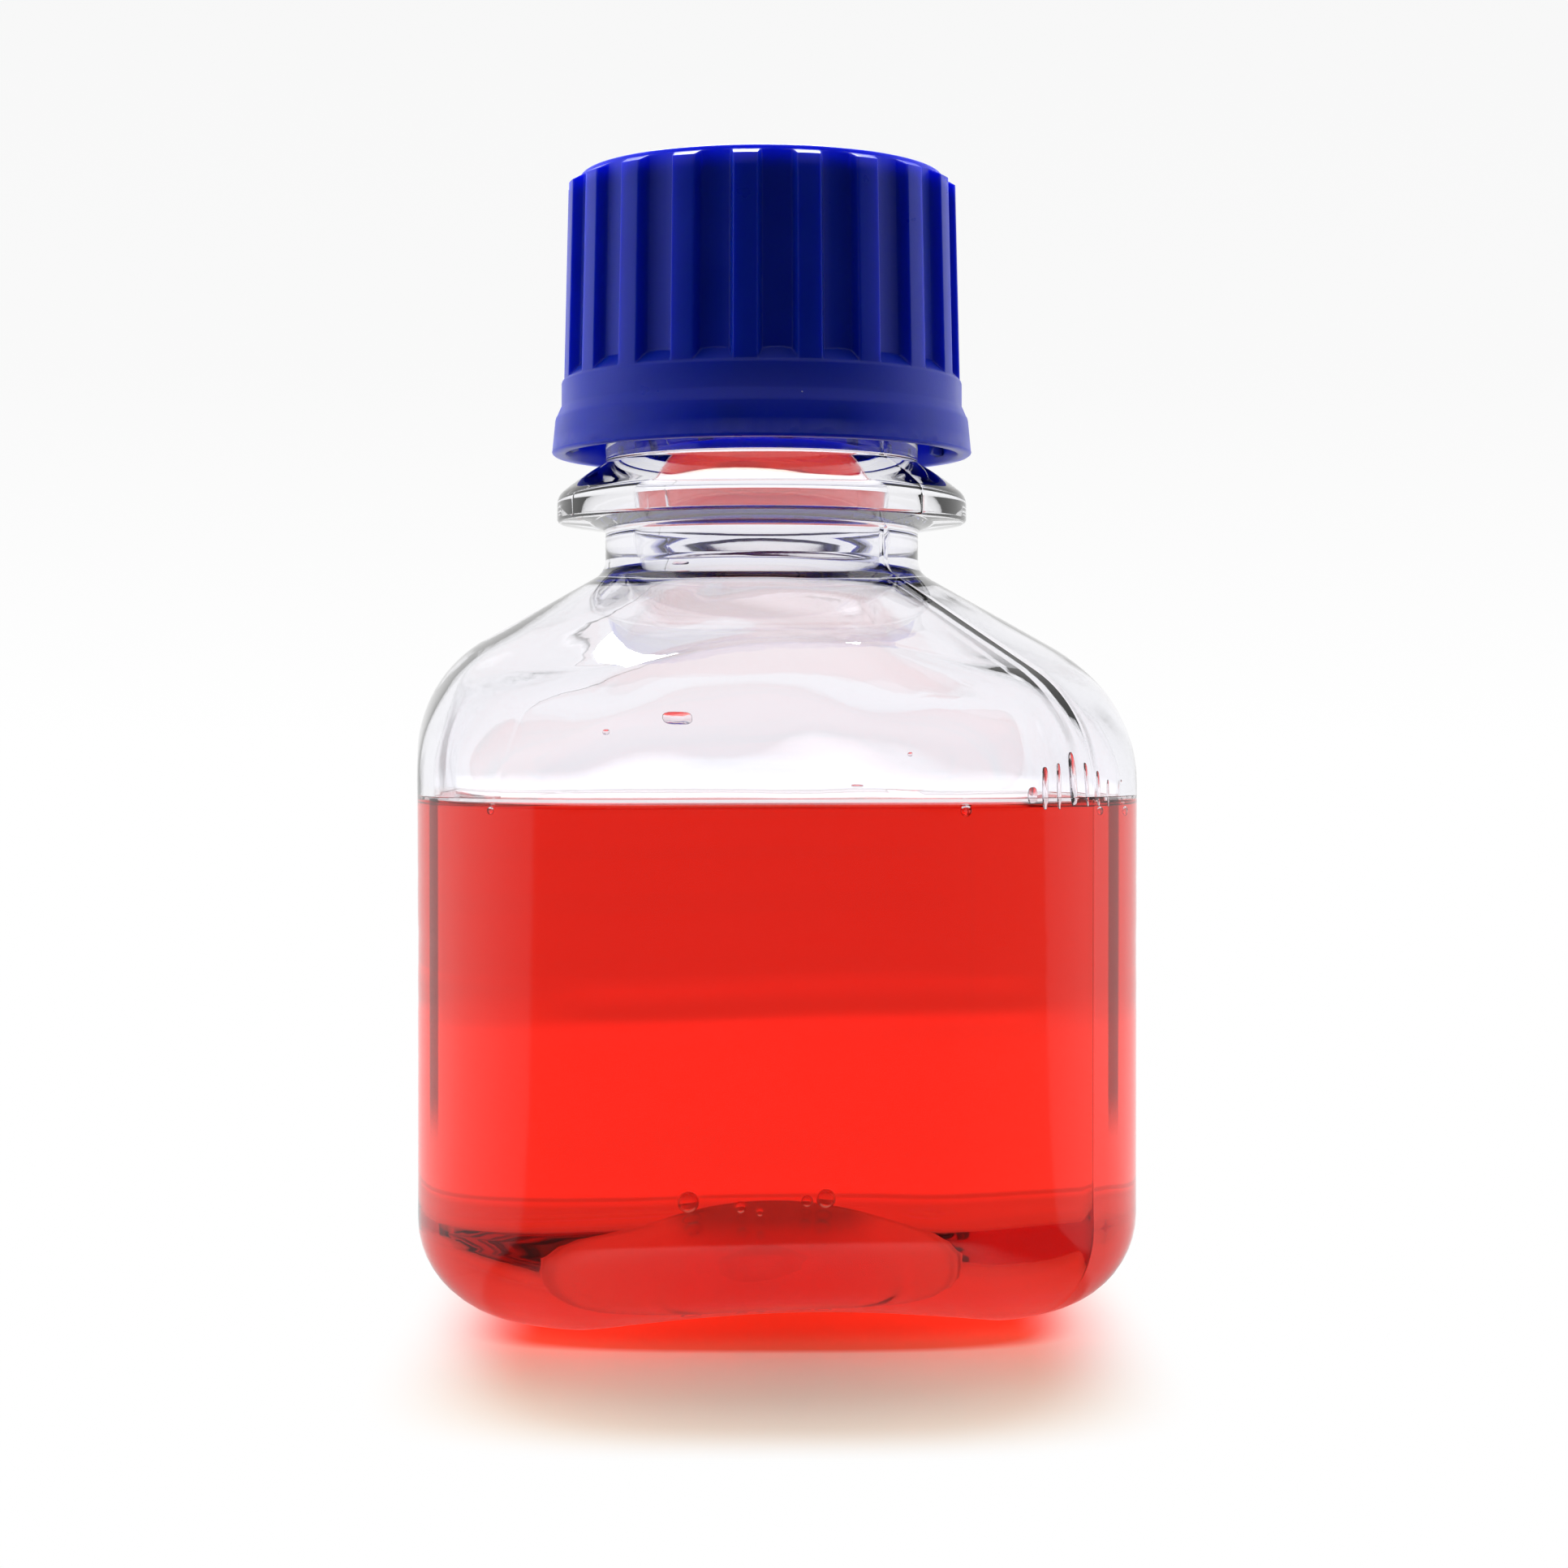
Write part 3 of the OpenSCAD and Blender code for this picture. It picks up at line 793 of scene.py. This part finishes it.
def make_cap(material):
    """One closed shell, and the lugs inside its ring."""
    rings = cap_inside() + cap_outside()
    vertices, faces = skin(rings, (0, 0, CAP_TOP_Z - TOP_T), (0, 0, CAP_TOP_Z))
    for k in range(LUG_COUNT):
        more, lug_faces = lug_box(2 * math.pi * (k + 0.5) / LUG_COUNT)
        start = len(vertices)
        vertices += more
        faces += [tuple(start + i for i in face) for face in lug_faces]
    piece = new_object("ribbed_cap", vertices, faces, material)
    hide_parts("screw_cap")
    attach(piece, "cap_body")


# --------------------------------------------------------------- node helpers

def add_node(tree, kind, values=None, **settings):
    """A node with its settings; values gives its sockets a number, a colour or a link."""
    made = tree.nodes.new(kind)
    for key, value in settings.items():
        setattr(made, key, value)
    for key, value in (values or {}).items():
        if isinstance(value, bpy.types.NodeSocket):
            tree.links.new(value, made.inputs[key])
        else:
            made.inputs[key].default_value = value
    return made


def calc(tree, operation, *values, clamp=False):
    """The result of a Math node."""
    inputs = dict(enumerate(values))
    return add_node(tree, "ShaderNodeMath", inputs, operation=operation, use_clamp=clamp).outputs[0]


def between_tones(tree, share, tone_a, tone_b):
    return add_node(tree, "ShaderNodeMixRGB", {"Fac": share, "Color1": tone_a, "Color2": tone_b}).outputs[0]


def between_shaders(tree, share, shader_a, shader_b):
    return add_node(tree, "ShaderNodeMixShader", {0: share, 1: shader_a, 2: shader_b}).outputs[0]


def cloud(tree, place, scale, detail):
    """Smooth noise from 0 to 1."""
    values = {"Vector": place, "Scale": scale, "Detail": detail}
    return add_node(tree, "ShaderNodeTexNoise", values).outputs["Fac"]


def bumps(tree, height, strength, distance):
    values = {"Height": height, "Strength": strength, "Distance": distance}
    return add_node(tree, "ShaderNodeBump", values).outputs[0]


def tone_between(tree, value, start, end, low, high, curve="LINEAR"):
    """A number that goes from low to high as value goes from start to end."""
    return add_node(tree, "ShaderNodeMapRange", {
        "Value": value, "From Min": start, "From Max": end, "To Min": low, "To Max": high,
    }, interpolation_type=curve).outputs[0]


def tone_across(tree, value, start, end, low, high):
    """The same on a smooth step."""
    return tone_between(tree, value, start, end, low, high, "SMOOTHSTEP")


def ramp(tree, value, stops):
    """A grey that follows value through stops of (value, grey)."""
    made = add_node(tree, "ShaderNodeValToRGB", {0: value})
    elements = made.color_ramp.elements
    elements[0].position, elements[1].position = stops[0][0], stops[-1][0]
    for position, grey in stops[1:-1]:
        elements.new(position)
    for element, (position, grey) in zip(elements, stops):
        element.position = position
        element.color = (grey, grey, grey, 1)
    return made.outputs[0]


def new_material(name):
    material = bpy.data.materials.new(name)
    material.use_nodes = True
    tree = material.node_tree
    tree.nodes.clear()
    output = add_node(tree, "ShaderNodeOutputMaterial")
    place = add_node(tree, "ShaderNodeTexCoord").outputs["Object"]
    return material, tree, output, place


# ----------------------------------------------------------------- materials

def lets_lamps_through(tree, glass, tint):
    """Glass whose shadow is clear and tinted, and not black."""
    clear = add_node(tree, "ShaderNodeBsdfTransparent", {"Color": tint})
    path = add_node(tree, "ShaderNodeLightPath")
    return between_shaders(tree, path.outputs["Is Shadow Ray"], glass.outputs[0], clear.outputs[0])


def painted_shade_strips(tree, place):
    """1 on the upright strips of painted shade in the front corners, 0 elsewhere."""
    parts = add_node(tree, "ShaderNodeSeparateXYZ", {0: place}).outputs
    aside = calc(tree, "SUBTRACT", calc(tree, "ABSOLUTE", parts["X"]), HALF_W - CORNER_R)
    ahead = calc(tree, "MULTIPLY_ADD", parts["Y"], -1.0, CORNER_R - HALF_W)
    bearing = calc(tree, "ARCTAN2", aside, ahead)
    middle = tone_across(tree, parts["X"], -1 * MM, 1 * MM, LEFT_STRIP_AT, RIGHT_STRIP_AT)
    off = calc(tree, "ABSOLUTE", calc(tree, "SUBTRACT", bearing, middle))
    strip = tone_across(tree, off, 0.6 * STRIP_W, STRIP_W, 1, 0)
    upright = tone_across(tree, parts["Z"], STRIP_LOW_Z, STRIP_FULL_Z, 0, 1)
    return calc(tree, "MULTIPLY", strip, upright)


def wetted_material():
    """Where the liquid wets the wall, the liquid's own surface bends the light, and this one
    only darkens it with painted shade on the corner strips and the dome's top."""
    material, tree, output, place = new_material("wetted_polyester")
    tone = between_tones(tree, cloud(tree, place, 30, 1), (0.99, 0.99, 1, 1), (1, 1, 1, 1))
    painted_shade = add_node(tree, "ShaderNodeAttribute", attribute_name="painted_shade").outputs["Fac"]
    # Painted shade: the corner strips and the dome's top.
    painted_shade = calc(tree, "MAXIMUM", painted_shade_strips(tree, place), painted_shade)
    tone = between_tones(tree, painted_shade, tone, PAINTED_SHADE_TONE)
    clear = add_node(tree, "ShaderNodeBsdfTransparent", {"Color": tone})
    tree.links.new(clear.outputs[0], output.inputs["Surface"])
    return material


def bottle_material():
    material, tree, output, place = new_material("clear_polyester")
    rough = tone_between(tree, cloud(tree, place, 160, 3), 0.35, 0.75, 0.0, 0.035)
    orange_peel = bumps(tree, cloud(tree, place, 420, 2), 0.12, 0.02 * MM)
    glass = add_node(tree, "ShaderNodeBsdfPrincipled", {
        "Base Color": (0.97, 0.968, 0.995, 1), "Transmission Weight": 1.0, "IOR": GLASS_IOR,
        "Roughness": rough, "Normal": orange_peel,
    })
    shader = lets_lamps_through(tree, glass, (0.8, 0.77, 0.73, 1))
    tree.links.new(shader, output.inputs["Surface"])
    return material


def watery(tree, tone, ior, tint):
    """The surface of clear water, tinted in its shadow."""
    water = add_node(tree, "ShaderNodeBsdfPrincipled", {
        "Base Color": tone, "Transmission Weight": 1.0, "IOR": ior, "Roughness": 0.0,
    })
    return lets_lamps_through(tree, water, tint)


def liquid_material():
    material, tree, output, place = new_material("clear_red_liquid")
    tone = between_tones(tree, cloud(tree, place, 45, 1), (1.0, 0.93, 0.92, 1), (1.0, 0.98, 0.98, 1))
    on_wall = add_node(tree, "ShaderNodeAttribute", attribute_name="on_wall").outputs["Fac"]
    bend = tone_between(tree, on_wall, 0, 1, LIQUID_IOR, LIQUID_IOR / GLASS_IOR)
    red = add_node(tree, "ShaderNodeVolumeAbsorption", {
        "Color": (0.957, 0.2, 0.045, 1), "Density": 94.0,
    })
    tree.links.new(watery(tree, tone, bend, (1.0, 0.96, 0.95, 1)), output.inputs["Surface"])
    tree.links.new(red.outputs[0], output.inputs["Volume"])
    return material


def drop_material():
    material, tree, output, place = new_material("drop_water")
    tone = between_tones(tree, cloud(tree, place, 300, 1), (1, 0.9, 0.91, 1), (1, 0.97, 0.98, 1))
    tree.links.new(watery(tree, tone, LIQUID_IOR, (0.98, 0.94, 0.94, 1)), output.inputs["Surface"])
    return material


def bubble_material():
    """The skin of an air bubble in the liquid: light goes from water into air."""
    material, tree, output, place = new_material("air_in_liquid")
    tone = between_tones(tree, cloud(tree, place, 300, 1), (0.98, 0.98, 0.98, 1), (1, 1, 1, 1))
    tree.links.new(watery(tree, tone, 1 / LIQUID_IOR, (0.99, 0.98, 0.98, 1)), output.inputs["Surface"])
    return material


def pale_specks(tree, place):
    """1 on a few small specks in the cap's plastic, 0 elsewhere."""
    cells = add_node(tree, "ShaderNodeTexVoronoi", {"Vector": place, "Scale": 800})
    near = calc(tree, "LESS_THAN", cells.outputs["Distance"], 0.06)
    chosen = add_node(tree, "ShaderNodeSeparateColor", {"Color": cells.outputs["Color"]})
    rare = calc(tree, "LESS_THAN", chosen.outputs[0], 0.06)
    return calc(tree, "MULTIPLY", near, rare)


def cap_material():
    material, tree, output, place = new_material("blue_cap_plastic")
    uneven = cloud(tree, place, 190, 4)
    tone = between_tones(tree, uneven, (0.001, 0.027, 0.58, 1), (0.002, 0.033, 0.68, 1))
    height = add_node(tree, "ShaderNodeSeparateXYZ", {0: place}).outputs["Z"]
    # Painted light: a brighter blue near the top, where light comes through the plastic from above.
    painted_top_light = tone_between(tree, height, CAP_TOP_Z - PAINTED_TOP_LIGHT_H, CAP_TOP_Z, 0, 1, "SMOOTHERSTEP")
    tone = between_tones(tree, painted_top_light, tone, (0.001, 0.03, 0.9, 1))
    tone = between_tones(tree, pale_specks(tree, place), tone, (0.3, 0.35, 0.8, 1))
    plastic = add_node(tree, "ShaderNodeBsdfPrincipled", {
        "Base Color": tone, "Roughness": tone_between(tree, uneven, 0.3, 0.7, 0.27, 0.36),
        "Normal": bumps(tree, cloud(tree, place, 5200, 2), 0.25, 0.02 * MM),
        "IOR": 1.5, "Specular IOR Level": 0.24, "Subsurface Weight": 0.85,
        "Subsurface Radius": (0.08, 0.16, 1.0), "Subsurface Scale": 2.4 * MM,
    })
    tree.links.new(plastic.outputs[0], output.inputs["Surface"])
    return material


def liner_material():
    material, tree, output, place = new_material("white_foam_liner")
    cells = add_node(tree, "ShaderNodeTexVoronoi", {"Vector": place, "Scale": 2600}).outputs["Distance"]
    foam = add_node(tree, "ShaderNodeBsdfPrincipled", {
        "Base Color": between_tones(tree, cells, (0.86, 0.86, 0.83, 1), (0.9, 0.9, 0.88, 1)),
        "Roughness": 0.6, "Normal": bumps(tree, cells, 0.3, 0.03 * MM),
    })
    tree.links.new(foam.outputs[0], output.inputs["Surface"])
    return material


# --------------------------------------------------------------------- stage

FLOOR_R = 2.4
FLOOR_RINGS, FLOOR_SIDES = 24, 64
# The shadow's patch of floor, and the smaller patch painted red for light that comes through
# the liquid: the middle and half widths across and along the view, and where each begins to fade.
SHADOW_PATCH = ((1.4 * MM, -4.6 * MM), (29.5 * MM, 60 * MM), 0.6)
PAINTED_RED_LIGHT_PATCH = ((0.8 * MM, 0.0), (24.5 * MM, 31.5 * MM), 0.84)
PATCH_POWERS = (3.0, 8.0)  # how square a patch is, across and along the view
# Painted red light on the floor to the eye, for light that comes through the liquid.
PAINTED_RED_LIGHT = (0.84, 0.27, 0.16, 1)
# Painted light and painted shade: to the eye the floor near the bottle is brighter than white and warm,
# which browns its shadow.
PAINTED_NEAR_FLOOR_TONE = (1.06, 0.965, 0.83, 1)
GLARE_FROM, GLARE_TO = 0.19, 0.31  # behind glass the near floor is brighter than white
GLARE = 1.42
# Brightness of the room in reflections, by the forward part of their direction: it
# is dark in front of the bottle and white behind it.
ROOM = [(-1.0, 0.02), (-0.615, 0.02), (-0.585, 0.33), (-0.2, 0.6), (0.3, 0.92), (1.0, 0.95)]
ROOM_ABOVE = (0.8, 0.8, 0.8, 1)
# Light that was reflected inside the plastic meets a paler room.
TRAPPED_LOW = (0.42, 0.42, 0.48, 1)
TRAPPED_HIGH = (0.66, 0.66, 0.84, 1)
TRAPPED_BACK = (0.95, 0.95, 0.97, 1)
TRAPPED_FRONT_TO, TRAPPED_BACK_FROM = -0.62, -0.3
TRAPPED_FLOOR = 0.95
# Light on the object from low down, by the forward part of its direction: most of it
# comes from the sides.
FILL = [(-1.0, 0.05), (-0.6, 0.05), (-0.45, 0.27), (-0.3, 0.81), (0.0, 2.3), (0.25, 3.25), (1.0, 0.8)]
FILL_ABOVE = (0.22, 0.22, 0.22, 1)
# How bright the far floor is to the object, in front of it and behind it.
FRONT_FLOOR, BACK_FLOOR = 0.12, 0.92
FLOOR_DIM_TO, FLOOR_LIT_FROM = -0.6, 0.3
# Greys and shares by the upward part of a direction.
OVERHEAD = [(0.0, 0.0), (0.3, 0.0), (0.65, 1.0), (1.0, 1.0)]
RISING = [(0.0, 0.0), (0.03, 0.0), (0.12, 1.0), (1.0, 1.0)]
BEHIND_GLASS = [(0.0, 1.25), (0.012, 1.17), (0.03, 1.0), (0.07, 1.02), (0.15, 0.98), (0.4, 0.85), (1.0, 0.6)]
BACKDROP = [(0.0, 1.0), (0.12, 0.95), (0.3, 0.93), (1.0, 0.9)]

LAMP_PLACE = (0.01, 0.225, 0.44)
LAMP_TARGET = (0, 0, 0.045)
LAMP_SIZE = (0.22, 0.2)
LAMP_WATTS = 2.75


def ray_kinds(tree):
    """1 for rays from the camera, for those straight through glass, for those that come out of
    it after reflections, and for reflected ones."""
    path = add_node(tree, "ShaderNodeLightPath").outputs
    direct = calc(tree, "LESS_THAN", path["Glossy Depth"], 0.5)
    through = calc(tree, "MULTIPLY", path["Is Transmission Ray"], direct)
    inside = calc(tree, "GREATER_THAN", path["Transmission Depth"], 0.5)
    trapped = calc(tree, "SUBTRACT", inside, direct, clamp=True)
    return path["Is Camera Ray"], through, trapped, path["Is Glossy Ray"]


def tone_round(tree, forward, stops):
    """A grey by the forward part of a direction."""
    return ramp(tree, tone_between(tree, forward, -1, 1, 0, 1), [((f + 1) / 2, tone) for f, tone in stops])


def outside_patch(tree, place, patch):
    """0 on a rounded patch of the floor, 1 beyond it, and a soft edge between."""
    middles, halves, inner = patch
    directions = ((math.cos(YAW), -math.sin(YAW), 0), (math.sin(YAW), math.cos(YAW), 0))
    sums = []
    for direction, middle, half, power in zip(directions, middles, halves, PATCH_POWERS):
        line = add_node(tree, "ShaderNodeVectorMath", {0: place, 1: direction}, operation="DOT_PRODUCT")
        offset = calc(tree, "MULTIPLY_ADD", line.outputs["Value"], 1 / half, -middle / half)
        sums.append(calc(tree, "POWER", calc(tree, "ABSOLUTE", offset), power))
    measure = calc(tree, "POWER", calc(tree, "ADD", *sums), 1 / PATCH_POWERS[0])
    return tone_across(tree, measure, inner, 1.0, 0, 1)


def near_floor(tree, place, seen):
    """Matt floor round the bottle; to the eye it has painted red light where light comes through the liquid,
    and a painted warm tone in the shadow.
    """
    paper = cloud(tree, place, 900, 3)
    tone = between_tones(tree, paper, (0.91, 0.91, 0.91, 1), (0.93, 0.93, 0.93, 1))
    matt = add_node(tree, "ShaderNodeBsdfDiffuse", {"Color": tone}).outputs[0]
    painted_red_tone = between_tones(tree, outside_patch(tree, place, PAINTED_RED_LIGHT_PATCH), PAINTED_RED_LIGHT, PAINTED_NEAR_FLOOR_TONE)
    bright = add_node(tree, "ShaderNodeBsdfDiffuse", {"Color": painted_red_tone}).outputs[0]
    return between_shaders(tree, seen, matt, bright)


def far_floor(tree, place, camera, through, mirrored):
    """The floor beyond, white to the eye."""
    distance = add_node(tree, "ShaderNodeVectorMath", {0: place}, operation="LENGTH").outputs["Value"]
    bearing = add_node(tree, "ShaderNodeVectorMath", {0: place}, operation="NORMALIZE").outputs[0]
    forward = add_node(tree, "ShaderNodeSeparateXYZ", {0: bearing}).outputs["Y"]
    tone = tone_across(tree, forward, FLOOR_DIM_TO, FLOOR_LIT_FROM, FRONT_FLOOR, BACK_FLOOR)
    shader = add_node(tree, "ShaderNodeBsdfDiffuse", {"Color": tone}).outputs[0]
    for ray, strength in (
        (mirrored, tone_round(tree, forward, ROOM)),
        (through, tone_across(tree, distance, GLARE_FROM, GLARE_TO, GLARE, 1.0)),
        (camera, 1.0),
    ):
        glow = add_node(tree, "ShaderNodeEmission", {"Strength": strength}).outputs[0]
        shader = between_shaders(tree, ray, shader, glow)
    return shader


def floor_material():
    """Pale matt floor near the bottle, which fades to the white of the background."""
    material, tree, output, place = new_material("pale_floor")
    camera, through, trapped, mirrored = ray_kinds(tree)
    near = near_floor(tree, place, calc(tree, "MAXIMUM", camera, through))
    fade = outside_patch(tree, place, SHADOW_PATCH)
    far = far_floor(tree, place, camera, through, mirrored)
    shader = between_shaders(tree, fade, near, far)
    pale = add_node(tree, "ShaderNodeEmission", {"Strength": TRAPPED_FLOOR}).outputs[0]
    tree.links.new(between_shaders(tree, trapped, shader, pale), output.inputs["Surface"])
    return material


def make_floor():
    angles = np.arange(FLOOR_SIDES) * 2 * math.pi / FLOOR_SIDES
    rings = []
    for k in range(1, FLOOR_RINGS + 1):
        r = FLOOR_R * (k / FLOOR_RINGS) ** 2
        rings.append(np.column_stack([r * np.cos(angles), r * np.sin(angles), 0 * angles]))
    vertices, faces = skin(rings, (0, 0, 0))
    floor = new_object("floor", vertices, faces, floor_material())


def make_world():
    """White all round to the eye and through glass; a dim place in front in reflections."""
    world = bpy.data.worlds.new("studio")
    bpy.context.scene.world = world
    world.use_nodes = True
    tree = world.node_tree
    tree.nodes.clear()
    output = add_node(tree, "ShaderNodeOutputWorld")
    direction = add_node(tree, "ShaderNodeTexCoord").outputs["Generated"]
    parts = add_node(tree, "ShaderNodeSeparateXYZ", {0: direction})
    forward, height = parts.outputs["Y"], parts.outputs["Z"]
    camera, through, trapped, mirrored = ray_kinds(tree)
    overhead = ramp(tree, height, OVERHEAD)
    fill = between_tones(tree, overhead, tone_round(tree, forward, FILL), FILL_ABOVE)
    room = between_tones(tree, overhead, tone_round(tree, forward, ROOM), ROOM_ABOVE)
    front = between_tones(tree, ramp(tree, height, RISING), TRAPPED_LOW, TRAPPED_HIGH)
    behind = tone_across(tree, forward, TRAPPED_FRONT_TO, TRAPPED_BACK_FROM, 0, 1)
    shader = add_node(tree, "ShaderNodeBackground", {"Color": fill}).outputs[0]
    for ray, tone in (
        (mirrored, room),
        (trapped, between_tones(tree, behind, front, TRAPPED_BACK)),
        (through, ramp(tree, height, BEHIND_GLASS)),
        (camera, ramp(tree, height, BACKDROP)),
    ):
        seen = add_node(tree, "ShaderNodeBackground", {"Color": tone}).outputs[0]
        shader = between_shaders(tree, ray, shader, seen)
    tree.links.new(shader, output.inputs["Surface"])


def make_lamp():
    data = bpy.data.lights.new("overhead", "AREA")
    data.shape = "RECTANGLE"
    data.size, data.size_y = LAMP_SIZE
    data.energy = LAMP_WATTS
    lamp = bpy.data.objects.new("overhead", data)
    lamp.location = LAMP_PLACE
    lamp.rotation_mode = "QUATERNION"
    lamp.rotation_quaternion = (Vector(LAMP_TARGET) - Vector(LAMP_PLACE)).to_track_quat("-Z", "Y")
    lamp.visible_camera = False
    lamp.visible_transmission = False
    bpy.context.scene.collection.objects.link(lamp)


# ---------------------------------------------------------------------- main

make_camera()
make_world()
make_lamp()
make_floor()
shell = make_bottle(bottle_material(), wetted_material())
make_liquid(liquid_material())
make_drops(shell, drop_material(), bubble_material())
make_cap(cap_material())
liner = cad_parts["seal_liner"]
liner.material_slots[0].material = liner_material()
bpy.context.scene.view_settings.view_transform = "Standard"
